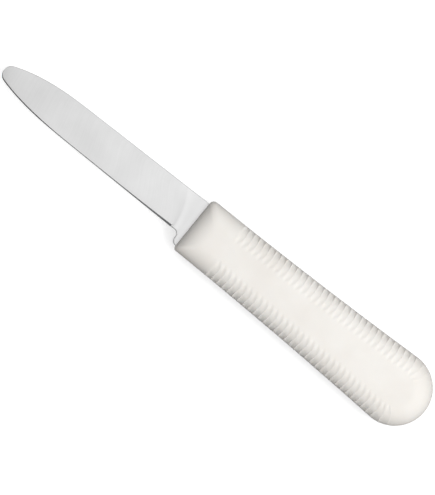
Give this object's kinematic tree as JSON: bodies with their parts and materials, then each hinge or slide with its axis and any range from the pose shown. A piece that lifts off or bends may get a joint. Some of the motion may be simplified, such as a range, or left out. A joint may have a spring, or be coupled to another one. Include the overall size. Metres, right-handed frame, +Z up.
{
  "type": "clam knife",
  "caption": "Clam knife lying on its side: blunt-nosed ground steel blade whose hidden tang is moulded into a white plastic handle with ribbed long edges and a round butt.",
  "frame": {"origin": "middle of the bounding box, on the plane of the handle's lower flat side that the knife lies on", "axes": "+X from the tip to the butt, +Y from the cutting edge to the spine, +Z up through the blade's thickness"},
  "size_m": [0.171, 0.024, 0.014],
  "materials": {
    "blade_steel": "satin ground stainless sheet",
    "handle_plastic": "satin moulded polypropylene"
  },
  "bodies": {
    "root": {"blade": "blade_steel", "handle": "handle_plastic"}
  },
  "joints": []
}
